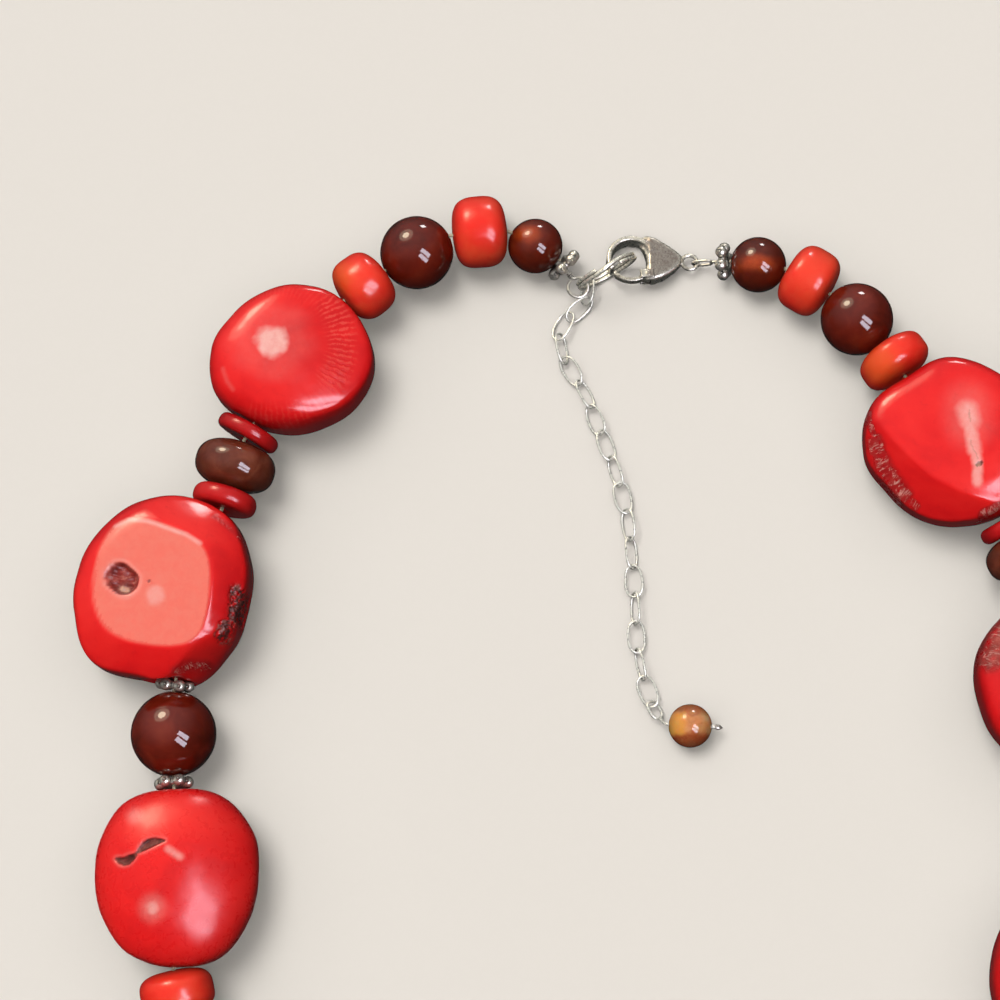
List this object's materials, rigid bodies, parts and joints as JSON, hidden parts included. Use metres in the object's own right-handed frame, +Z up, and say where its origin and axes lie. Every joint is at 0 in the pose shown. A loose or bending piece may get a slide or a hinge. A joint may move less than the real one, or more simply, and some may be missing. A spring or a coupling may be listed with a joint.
{
  "type": "bead necklace",
  "caption": "Collar necklace of red coral nuggets, round carnelian beads and silver daisy spacers on one thread, closed by a lobster clasp, with an extender chain ending in a bead.",
  "frame": {"origin": "middle of the necklace's box on the surface it lies on", "axes": "+Z up off the surface, +Y along the loop's long side towards the clasp, +X to the right of the clasp seen from above"},
  "size_m": [0.1485, 0.1726, 0.015],
  "materials": {
    "coral": "polished red coral, with pale pink and brown flaws",
    "carnelian": "polished, dark and translucent red-brown",
    "brown_carnelian": "polished, translucent brown",
    "amber_carnelian": "polished, translucent orange",
    "oxidised_silver": "worn silver, dark in the recesses",
    "beading_thread": "matte twisted thread"
  },
  "bodies": {
    "necklace": {"thread": "beading_thread", "left_spacer_1": "oxidised_silver", "left_carnelian_1": "carnelian", "left_coral_1": "coral", "left_carnelian_2": "carnelian", "left_coral_2": "coral", "left_nugget_a": "coral", "left_disc_1": "coral", "left_rondelle": "brown_carnelian", "left_disc_2": "coral", "left_nugget_b": "coral", "left_spacer_2": "oxidised_silver", "left_carnelian_3": "carnelian", "left_spacer_3": "oxidised_silver", "left_nugget_c": "coral", "left_coral_3": "coral", "left_carnelian_4": "carnelian", "left_coral_4": "coral", "left_nugget_d": "coral", "left_spacer_4": "oxidised_silver", "left_carnelian_5": "carnelian", "left_spacer_5": "oxidised_silver", "centre_nugget": "coral", "right_spacer_1": "oxidised_silver", "right_carnelian_1": "carnelian", "right_coral_1": "coral", "right_carnelian_2": "carnelian", "right_coral_2": "coral", "right_nugget_a": "coral", "right_disc_1": "coral", "right_rondelle": "brown_carnelian", "right_disc_2": "coral", "right_nugget_b": "coral", "right_spacer_2": "oxidised_silver", "right_carnelian_3": "carnelian", "right_spacer_3": "oxidised_silver", "right_nugget_c": "coral", "right_coral_3": "coral", "right_carnelian_4": "carnelian", "right_coral_4": "coral", "right_nugget_d": "coral", "right_spacer_4": "oxidised_silver", "right_carnelian_5": "carnelian", "right_spacer_5": "oxidised_silver", "left_end_loop": "oxidised_silver", "heavy_ring": "oxidised_silver", "clasp_body": "oxidised_silver", "right_end_loop": "oxidised_silver", "extender_chain": "oxidised_silver", "head_pin": "oxidised_silver", "end_bead": "amber_carnelian"},
    "clasp_lever_body": {"clasp_lever": "oxidised_silver"}
  },
  "joints": [
    {"name": "clasp_lever_hinge", "type": "hinge", "parent": "necklace", "child": "clasp_lever_body", "pos_m": [0.00542, 0.0741, 0.00246], "axis": [-0.0512, -0.2079, -0.9768], "range_deg": [0, 18], "stiffness_Nm_per_rad": 0.01, "springref_deg": -8.59}
  ]
}
